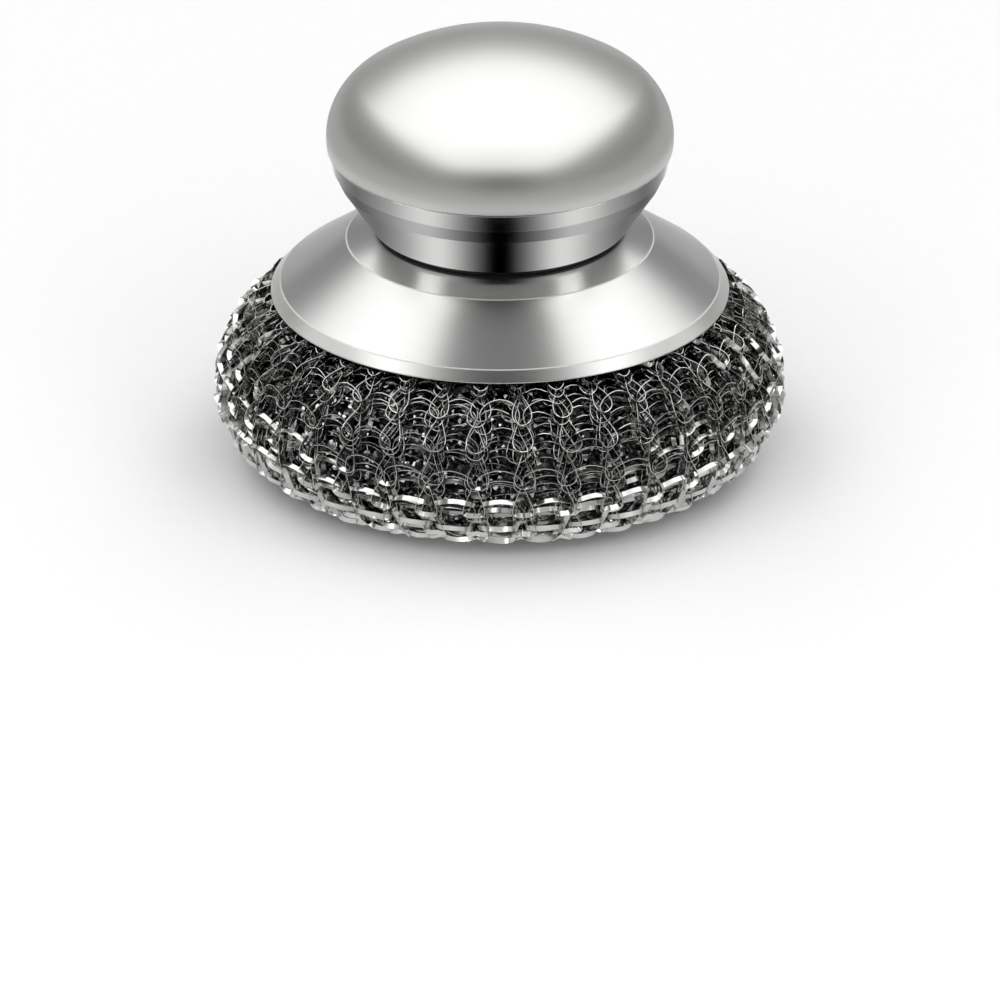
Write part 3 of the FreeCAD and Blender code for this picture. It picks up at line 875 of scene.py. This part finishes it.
# %% [markdown]
# ## Five skins of knit
# The eye looks through the open stitches at more turns of the same knit. Five skins, each a little
# deeper, looser and darker than the last, give that depth; their darkening colour is painted shade.
# The two outer ones run all over the bun, and the others only where one can see in. The edges along
# the ribbon are marked sharp, so that its flats reflect as flats.

# %% Five skins of knit
# Painted shade: the share of the ribbon's colour left on the legs of a stitch.
LEG_SHADED_TONE = 0.6
FIRST_SEED = 11
# Name, depth below the pad's line, first and last course along it, colour, looseness, twist.
# Painted shade: each deeper skin has a darker colour.
SKINS = [
    ("pad_knit_outer", 0.5, 2.0, full_length - 2.0, "DADAD8", 1.0, 0.2),
    ("pad_knit_second", 1.0, 3.1, full_length - 4.0, "CACAC8", 1.1, 0.3),
    ("pad_knit_third", 1.55, 15.4, full_length - 18.0, "BABAB8", 1.2, 0.35),
    ("pad_knit_fourth", 2.1, 16.5, full_length - 18.0, "A8A8A6", 1.4, 0.5),
    ("pad_knit_fifth", 2.65, 17.6, full_length - 18.0, "989896", 2.5, 0.7),
]


def knit_skin(name, depth, starts, seed, material, looseness, twist):
    """One skin of knit: a closed tube of four sides along each course, all in one mesh, with its
    painted shade on each point, darker on the legs, and sharp edges along the ribbon."""
    random = np.random.default_rng(seed)
    angle, place, below, lift = course_lines(random, starts, depth, looseness)
    middle, normal = lay_on_pad(angle, place, below)
    points = ribbon_corners(random, middle, normal, twist)
    course_points = WALES * STITCH_POINTS
    ring = grid_faces(course_points, len(SIDES), True)
    first_points = np.arange(len(starts)) * course_points * len(SIDES)
    faces = (ring + first_points[:, None, None]).reshape(-1, 4)
    skin = new_piece(name, points * MM, faces, material)
    # Painted shade on the legs: one on the arch and the bottom of each stitch, the leg tone where the
    # ribbon lies deeper.
    painted_leg_shade = np.repeat((1 + (1 - LEG_SHADED_TONE) * lift).ravel(), len(SIDES)).astype(np.float32)
    skin.data.attributes.new("painted_leg_shade", "FLOAT", "POINT").data.foreach_set("value", painted_leg_shade)
    ends = np.empty(len(skin.data.edges) * 2, np.int32)
    skin.data.edges.foreach_get("vertices", ends)
    lengthwise = ends[0::2] % len(SIDES) == ends[1::2] % len(SIDES)
    skin.data.attributes.new("sharp_edge", "BOOLEAN", "EDGE").data.foreach_set("value", lengthwise)
    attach(skin, "pad")
    print(name, "courses", len(starts), "triangles", 2 * len(skin.data.polygons))
    return skin


skins = []
for number, (name, depth, first, last, colour, looseness, twist) in enumerate(SKINS):
    finish = ribbon_steel("rolled_painted_shade_" + name, colour)
    starts = np.arange(first, last, COURSE)
    skins.append(knit_skin(name, depth, starts, FIRST_SEED + number, finish, looseness, twist))
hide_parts("scouring_pad")

# %% [markdown]
# ## The core of the pad
# Deeper in, the turns of knit are packed so tight that nothing but a dark glitter is left. More
# skins would cost many faces and add little, so a closed core stands for them, a few millimetres
# inside the outer line. Its material breaks the light into flats the size of a ribbon's width, and
# most of the flats get a near-black colour, which is painted shade.

# %% The core of the pad
CORE_DEPTH = 3.5
CORE_DEPTH_AT_HOLE = 2.4
CORE_BORE = 4.2
CORE_STEPS = 128
CORE_WINDOW = 81
CORE_STRIDE = 16
CORE_THINS = (0.55, 0.9)
FLAT_SIZE = 0.55
DARK_SHARE = 0.7
FLAT_TILT = 1.6


def core_steel():
    """Packed steel ribbon: most flats get a near-black colour, painted shade of the deeper turns, and
    the rest the pale steel colour. Each cell of a Voronoi pattern is one flat, and its normal is the
    surface's plus the cell's own random vector."""
    material, tree = new_material("packed_ribbon_painted_shade")
    place = add(tree, "ShaderNodeTexCoord").outputs["Object"]
    flats = add(tree, "ShaderNodeTexVoronoi", {"Vector": place, "Scale": 1 / (FLAT_SIZE * MM)})
    chance = add(tree, "ShaderNodeSeparateColor", {0: flats.outputs["Color"]})
    inputs = {0: chance.outputs[0], 1: DARK_SHARE}
    bright = add(tree, "ShaderNodeMath", inputs, operation="GREATER_THAN")
    # Painted shade: the share of cells set by DARK_SHARE gets a near-black colour, the rest pale steel.
    inputs = {"Factor": bright.outputs[0], "A": linear("262626"), "B": linear("E0E0DE")}
    tone = add(tree, "ShaderNodeMix", inputs, data_type="RGBA").outputs["Result"]
    inputs = {0: flats.outputs["Color"], 1: (0.5, 0.5, 0.5)}
    aside = add(tree, "ShaderNodeVectorMath", inputs, operation="SUBTRACT")
    inputs = {0: aside.outputs[0], "Scale": FLAT_TILT}
    tilt = add(tree, "ShaderNodeVectorMath", inputs, operation="SCALE")
    upright = add(tree, "ShaderNodeNewGeometry").outputs["Normal"]
    tilted = add(tree, "ShaderNodeVectorMath", {0: tilt.outputs[0], 1: upright}, operation="ADD")
    facet = add(tree, "ShaderNodeVectorMath", {0: tilted.outputs[0]}, operation="NORMALIZE")
    inputs = {"Base Color": tone, "Metallic": 1.0, "Roughness": 0.2, "Normal": facet.outputs[0]}
    close_material(tree, add(tree, "ShaderNodeBsdfPrincipled", inputs))
    return material


from_middle = np.abs(along_line / full_length - 0.5) * 2
core_inset = np.interp(from_middle, CORE_THINS, (CORE_DEPTH, CORE_DEPTH_AT_HOLE))
core_line = smoothed(line_points - core_inset[:, None] * line_normal, CORE_WINDOW)[::CORE_STRIDE]
core_ends = [[(CORE_BORE, core_line[end, 1])] for end in (0, -1)]
core_section = np.concatenate([core_ends[0], core_line, core_ends[1]])
core = turned("pad_core_packed", core_section, core_steel(), steps=CORE_STEPS)
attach(core, "pad")
print(core.name, "faces", len(core.data.polygons))

# %% [markdown]
# ## The stud
# The stud is a length of M6 threaded rod, and it shows whenever the handle is lifted out of the pad.
# A thread is a groove that climbs one pitch with each turn, so the radius is a function of the
# height less the turn's share of the pitch. A screw modifier would need its ends closed by hand.

# %% The stud
PITCH = 1.0
THREAD_DEPTH = 0.6
STUD_BEVEL = 0.5
ROWS_TO_A_PITCH = 12
STUD_STEPS = 40
FLANK_SLOPE = 1.35
FLANK_START = 0.175
stud_foot, stud_top, stud_radius = heights("centre_stud")


def thread_rows():
    """The stud's surface: its radius falls from the crest to the root and back along each pitch, as
    a triangle cut off at both ends, and is held down to a cone at either end of the stud, which
    a flat disc closes."""
    rows = int((stud_top - stud_foot) / PITCH * ROWS_TO_A_PITCH) + 1
    height = np.linspace(stud_foot, stud_top, rows)[:, None]
    turn = np.linspace(0, 2 * np.pi, STUD_STEPS, endpoint=False)
    phase = (height / PITCH - turn / (2 * np.pi)) % 1
    groove = np.clip(FLANK_SLOPE * (1 - np.abs(2 * phase - 1)) - FLANK_START, 0, 1)
    end = np.minimum(height - stud_foot, stud_top - height)
    bevel = stud_radius - STUD_BEVEL - THREAD_DEPTH / 2 + end
    radius = np.minimum(stud_radius - THREAD_DEPTH * groove, np.maximum(bevel, 0))
    radius[[0, -1]] = 0
    height[[0, -1]] = height[[1, -2]]
    height = np.broadcast_to(height, radius.shape)
    return np.stack([radius * np.cos(turn), radius * np.sin(turn), height], axis=-1)


stud_points = thread_rows()
stud_faces = grid_faces(len(stud_points), STUD_STEPS, False)
stud = new_piece("centre_stud_threaded", stud_points * MM, stud_faces, MACHINED_STEEL)
settle_normals(stud)
stand_for(stud, "centre_stud", "handle")

# %% [markdown]
# ## Plain solids that stay
# The remaining fasteners are turned or stamped parts without thread or sheet to show. Their solids
# are right as they are and only get their finish.

# %% Plain solids that stay
PLAIN = ("knob_bush", "lock_washer", "jam_nut", "pad_eyelet", "retaining_washer", "thumb_nut")
for node in PLAIN:
    for finish_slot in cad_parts[node].material_slots:
        finish_slot.material = MACHINED_STEEL
print("plain solids", len(PLAIN))

# %% [markdown]
# ## The table
# The scrubber stands on a sheet of matt white paper. It is clear from below, so that views from
# under the table see the sole. There it would still be black, because the steel would mirror its own
# shadow, so near the pad the paper shows as evenly lit white in what metal mirrors.

# %% The table
FLOOR_HALF = 3.0
LIT_WHITE = 0.8
LIT_NEAR = 50
LIT_FAR = 120
PAPER_FIBRE = 2


def close_one_sided(material, tree, shader):
    """Links a shader that is seen only on the front of its faces, which are clear from behind. What
    it glows isn't counted as a lamp."""
    clear = add(tree, "ShaderNodeBsdfTransparent")
    side = add(tree, "ShaderNodeNewGeometry").outputs["Backfacing"]
    inputs = {0: side, 1: shader.outputs[0], 2: clear.outputs[0]}
    close_material(tree, add(tree, "ShaderNodeMixShader", inputs))
    material.cycles.emission_sampling = "NONE"


def paper_white():
    """Matt white paper: an even pale ground that keeps a soft shadow. To mirrored rays it glows near
    the axis, less and less between two distances, and from below it is clear."""
    material, tree = new_material("matt_white_paper")
    tone, _ = flecks(tree, PAPER_FIBRE, 2.0, "F6F6F6", "F9F9F9")
    paper = add(tree, "ShaderNodeBsdfPrincipled", {"Base Color": tone, "Roughness": 0.9})
    glow = add(tree, "ShaderNodeEmission", {"Color": linear("F6F6F6"), "Strength": LIT_WHITE})
    place = add(tree, "ShaderNodeTexCoord").outputs["Object"]
    reach = add(tree, "ShaderNodeVectorMath", {0: place}, operation="LENGTH").outputs["Value"]
    span = {"From Min": LIT_NEAR * MM, "From Max": LIT_FAR * MM, "To Min": 1.0, "To Max": 0.0}
    near = add(tree, "ShaderNodeMapRange", {"Value": reach, **span}).outputs["Result"]
    mirrored = add(tree, "ShaderNodeLightPath").outputs["Is Glossy Ray"]
    share = add(tree, "ShaderNodeMath", {0: mirrored, 1: near}, operation="MULTIPLY")
    inputs = {0: share.outputs[0], 1: paper.outputs[0], 2: glow.outputs[0]}
    close_one_sided(material, tree, add(tree, "ShaderNodeMixShader", inputs))
    return material


QUAD = np.array([[0, 1, 2, 3]])
floor_corners = np.array([(-1, -1, 0), (1, -1, 0), (1, 1, 0), (-1, 1, 0)]) * FLOOR_HALF
floor = new_piece("floor", floor_corners, QUAD, paper_white())
print("floor", 2 * FLOOR_HALF, "m wide")

# %% [markdown]
# ## Lamps
# Steel looks like what it mirrors, so each part of the scrubber has its own soft panels, as a
# photographer lights a product in several exposures. A wide ceiling lights dome and pad. Cup and
# skirt see strips to the left and right with a dark gap between them, which draws their fans, and
# low panels at both sides. Panels in front and behind light the knit, one of them low, for its foot.
# The table has two of its own for a pale even ground.

# %% Lamps
CEILING = 1.0
RADIANCE = 1.38
REACH = 1.05
FRONT = -1.35
SPLIT = -0.3
BACK = 1.35
AHEAD = -1.0
HANDS = [("left", -1), ("right", 1)]


def light_panel(name, place, turn, width, length, radiance, pieces, state="INCLUDE"):
    """A soft rectangular lamp that faces down, turned about X and Y. Its power is its radiance
    times pi times its area. It lights only the pieces given, or all but those."""
    data = bpy.data.lights.new(name, "AREA")
    data.shape = "RECTANGLE"
    data.size = width
    data.size_y = length
    data.energy = radiance * math.pi * width * length
    lamp = bpy.data.objects.new(name, data)
    lamp.location = place
    lamp.rotation_euler = (math.radians(turn[0]), math.radians(turn[1]), 0)
    bpy.context.scene.collection.objects.link(lamp)
    listed = bpy.data.collections.new("listed_for_" + name)
    for piece in pieces:
        listed.objects.link(piece)
    for entry in listed.collection_objects:
        entry.light_linking.link_state = state
    lamp.light_linking.receiver_collection = listed


pad_pieces = [core, *skins]
striped = [cup, skirt, floor]
over = (0, 0, CEILING)
depth_of_ceiling = BACK - FRONT
light_panel("ceiling", over, (0, 0), 2 * REACH, depth_of_ceiling, RADIANCE, striped, "EXCLUDE")
# Name, near and far edge from the middle, front and back edge, in metres.
STRIPS = [("overhead", 0.3, REACH, SPLIT, BACK), ("ahead", 0.65, 1.25, AHEAD, SPLIT)]
for name, near, far, front, back in STRIPS:
    for hand, side in HANDS:
        place = (side * (near + far) / 2, (front + back) / 2, CEILING)
        light_panel(f"strip_{name}_{hand}", place, (0, 0), far - near, back - front, RADIANCE, striped)
# Name, place in metres, turn about X and Y in degrees, width, length, radiance, pieces.
PAIRS = [
    ("side", (1.6, 0.45, 0.75), (0, 65), 0.7, 1.0, 0.6, [skirt]),
    ("low", (1.05, -0.58, 0.33), (30, 59), 0.5, 0.5, 2.8, [cup, skirt]),
]
for name, (aside, along, height), (tip, lean), *rest in PAIRS:
    for hand, side in HANDS:
        light_panel(f"{name}_{hand}", (side * aside, along, height), (tip, side * lean), *rest)
PANELS = [
    ("table", over, (0, 0), 2 * REACH, depth_of_ceiling, 0.36, [floor]),
    ("front_table", (0, -1.2, 0.85), (55, 0), 2.4, 1.1, 1.6, [floor]),
    ("front_pad", (0, -1.2, 0.85), (55, 0), 2.4, 1.1, 0.7, pad_pieces),
    ("low_pad", (0, -1.2, 0.16), (88, 0), 2.4, 0.3, 3.2, pad_pieces),
    ("behind", (0, 1.3, 0.65), (-65, 0), 3.2, 1.1, 1.3, pad_pieces),
]
for panel in PANELS:
    light_panel(*panel)

# %% [markdown]
# ## Wall and flags
# A low grey wall round the table gives the skirt's edge something to mirror, and black flags in
# front and above darken the middle of the steel. A flag's edges thin out, so that its mirror image
# has no hard border. The camera doesn't see any of them, and they throw no shadow.

# %% Wall and flags
WALL_RADIUS = 110.0
WALL_FOOT = 12.0
WALL_HEAD = 50.0
FLAG_SOLID = 0.12
FLAG_HALF = 0.65
CARD_FIBRE = 3
# Name, near and far edge from front to back, height of foot and head, in metres.
FLAGS = [
    ("flag_overhead", (FRONT, SPLIT), (1.02, 1.02)),
    ("flag_in_front", (AHEAD, AHEAD), (0.12, 0.75)),
]


def only_mirrored(piece):
    """The piece is seen in the metal, but not by the camera, and throws no shadow."""
    piece.visible_camera = False
    piece.visible_shadow = False
    piece.visible_diffuse = False


def grey_wall():
    """Matt grey card, bent into a low wall round the table."""
    material, tree = new_material("matt_grey_card")
    tone, _ = flecks(tree, CARD_FIBRE, 2.0, "D2D2D2", "DADADA")
    close_material(tree, add(tree, "ShaderNodeBsdfDiffuse", {"Color": tone}))
    return material


def black_flag():
    """Matt black paper that thins out to clear from its middle to its left and right edge."""
    material, tree = new_material("matt_black_paper")
    place = add(tree, "ShaderNodeTexCoord").outputs["Object"]
    axes = add(tree, "ShaderNodeSeparateXYZ", {0: place}).outputs
    aside = add(tree, "ShaderNodeMath", {0: axes["X"]}, operation="ABSOLUTE")
    inputs = {"Value": aside.outputs[0], "From Min": FLAG_SOLID, "From Max": FLAG_HALF}
    thin = add(tree, "ShaderNodeMapRange", inputs, interpolation_type="SMOOTHSTEP")
    clear = add(tree, "ShaderNodeBsdfTransparent")
    black = add(tree, "ShaderNodeBsdfDiffuse", {"Color": linear("070707")})
    inputs = {0: thin.outputs["Result"], 1: black.outputs[0], 2: clear.outputs[0]}
    close_material(tree, add(tree, "ShaderNodeMixShader", inputs))
    return material


wall_line = np.array([(WALL_RADIUS, WALL_FOOT), (WALL_RADIUS, WALL_HEAD)])
only_mirrored(turned("wall_round_table", wall_line, grey_wall(), closed=False))
FLAG_PAPER = black_flag()
for name, (near, far), (foot, head) in FLAGS:
    left = [(-FLAG_HALF, near, foot), (-FLAG_HALF, far, head)]
    right = [(FLAG_HALF, near, foot), (FLAG_HALF, far, head)]
    flag_corners = np.array([left[0], right[0], right[1], left[1]])
    only_mirrored(new_piece(name, flag_corners, QUAD, FLAG_PAPER))
print("wall radius", WALL_RADIUS, "mm, flags", len(FLAGS))

# %% [markdown]
# ## Cards for the cup
# The cup leans inwards, so it mirrors the skirt and the table and not the lamps. Three ring-shaped
# cards above the skirt, seen only from above and only in the metal, give its two bands and its cone
# the dark streak with bright shoulders that polished steel has beside a window. All have the same
# run of greys. A single card would serve only one view. A ring gives every side something to
# mirror, though the streak itself lies to the front and the back.

# %% Cards for the cup
# Angle from the front in degrees, and grey.
CARD_GREYS = [(0, 0.0), (10, 0.0), (24, 0.45), (38, 1.1), (60, 0.4), (90, 0.14)]
# Name, inner and outer edge as radius and height, strength, squeeze of the angles.
CARDS = [
    ("ring_for_band", [(31.6, 37.2), (48.0, 33.0)], 1.1, 1.0),
    ("ring_for_step", [(26.2, 37.4), (31.6, 37.4)], 0.75, 1.0),
    ("collar_for_cone", [(19.0, 38.9), (25.5, 38.9)], 1.1, 0.8),
]


def printed_paper(name, strength, squeeze):
    """Back-lit paper printed with one run of greys, seen from one side only: black towards the front
    and the back, white about 40 degrees aside and grey at the sides. A card close to the axis has
    its angles squeezed."""
    material, tree = new_material("printed_paper_" + name)
    place = add(tree, "ShaderNodeTexCoord").outputs["Object"]
    size = add(tree, "ShaderNodeVectorMath", {0: place}, operation="ABSOLUTE")
    axes = add(tree, "ShaderNodeSeparateXYZ", {0: size.outputs[0]}).outputs
    turn = add(tree, "ShaderNodeMath", {0: axes["X"], 1: axes["Y"]}, operation="ARCTAN2")
    inputs = {0: turn.outputs[0], 1: squeeze * math.pi / 2}
    share = add(tree, "ShaderNodeMath", inputs, operation="DIVIDE")
    run = add(tree, "ShaderNodeValToRGB", {0: share.outputs[0]})
    run.color_ramp.interpolation = "B_SPLINE"
    while len(run.color_ramp.elements) < len(CARD_GREYS):
        run.color_ramp.elements.new(0.5)
    for stop, (degrees, grey) in zip(run.color_ramp.elements, CARD_GREYS):
        stop.position = degrees / 90
        stop.color = (grey, grey, grey, 1)
    inputs = {"Color": run.outputs["Color"], "Strength": strength}
    close_one_sided(material, tree, add(tree, "ShaderNodeEmission", inputs))
    return material


for name, line, strength, squeeze in CARDS:
    card = turned(name, np.array(line), printed_paper(name, strength, squeeze), closed=False)
    if card.data.polygons[0].normal.z < 0:
        card.data.flip_normals()
    only_mirrored(card)
print("cards", [card[0] for card in CARDS])

# %% [markdown]
# ## Surroundings
# An even dim white all round fills what no lamp or card reaches. Colours are shown as they are
# written, without a film look.

# %% Surroundings
ROOM_LIGHT = 0.28
world = bpy.data.worlds.new("studio")
world.use_nodes = True
room = world.node_tree.nodes["Background"].inputs
room["Color"].default_value = linear("FFFFFF")
room["Strength"].default_value = ROOM_LIGHT
bpy.context.scene.world = world
bpy.context.scene.view_settings.view_transform = "Standard"
print("room light", ROOM_LIGHT)
